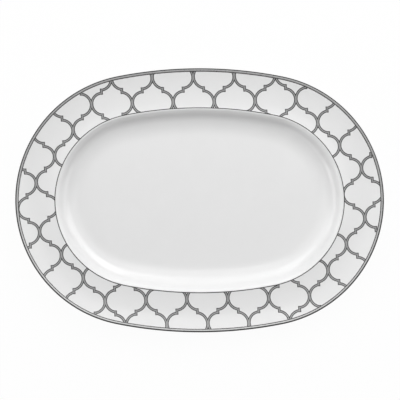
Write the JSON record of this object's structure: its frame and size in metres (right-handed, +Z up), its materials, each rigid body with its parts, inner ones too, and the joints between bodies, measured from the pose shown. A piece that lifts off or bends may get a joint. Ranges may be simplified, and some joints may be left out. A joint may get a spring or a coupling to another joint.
{
  "type": "oval serving platter",
  "caption": "Oval china serving platter: shallow well on a foot ring, wide sloping rim with a printed ogee lattice between fine lines, and a platinum band on the lip.",
  "frame": {"origin": "under the middle of the oval, on the plane that the foot ring stands on", "axes": "+X along the length of the platter, +Y along its width towards the back, +Z up out of the well"},
  "size_m": [0.356, 0.255, 0.0241],
  "materials": {
    "glazed_china": "glossy clear glaze over white fired china, bare on the foot ring's bearing face",
    "platinum": "burnished fired-on metal film",
    "grey_print": "satin on-glaze print"
  },
  "bodies": {
    "root": {"china_body": "glazed_china", "platinum_edge_band": "platinum", "border_transfer_back_left": "grey_print", "border_transfer_back_right": "grey_print", "border_transfer_front_left": "grey_print", "border_transfer_front_right": "grey_print"}
  },
  "joints": []
}
